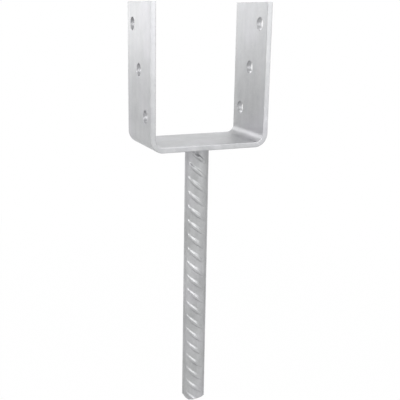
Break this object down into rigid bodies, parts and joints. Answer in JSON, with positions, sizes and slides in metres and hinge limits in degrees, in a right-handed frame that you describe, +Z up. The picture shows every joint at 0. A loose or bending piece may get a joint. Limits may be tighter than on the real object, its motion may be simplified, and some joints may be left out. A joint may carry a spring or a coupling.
{
  "type": "timber post base",
  "caption": "U-shaped strap saddle that holds the foot of a square timber post, welded on a ribbed bar that is cast into concrete.",
  "frame": {"origin": "middle of the seat, the strap's top face that the post stands on", "axes": "+Z up the post, X from leg to leg, Y across the strap with -Y at the front"},
  "size_m": [0.111, 0.06, 0.3785],
  "materials": {
    "zinc_strap": "hot-dip galvanised, satin",
    "zinc_bar": "hot-dip galvanised, satin",
    "zinc_weld": "hot-dip galvanised over a rough weld"
  },
  "bodies": {
    "root": {"saddle": "zinc_strap", "ribbed_bar": "zinc_bar", "weld_bead": "zinc_weld"}
  },
  "joints": []
}
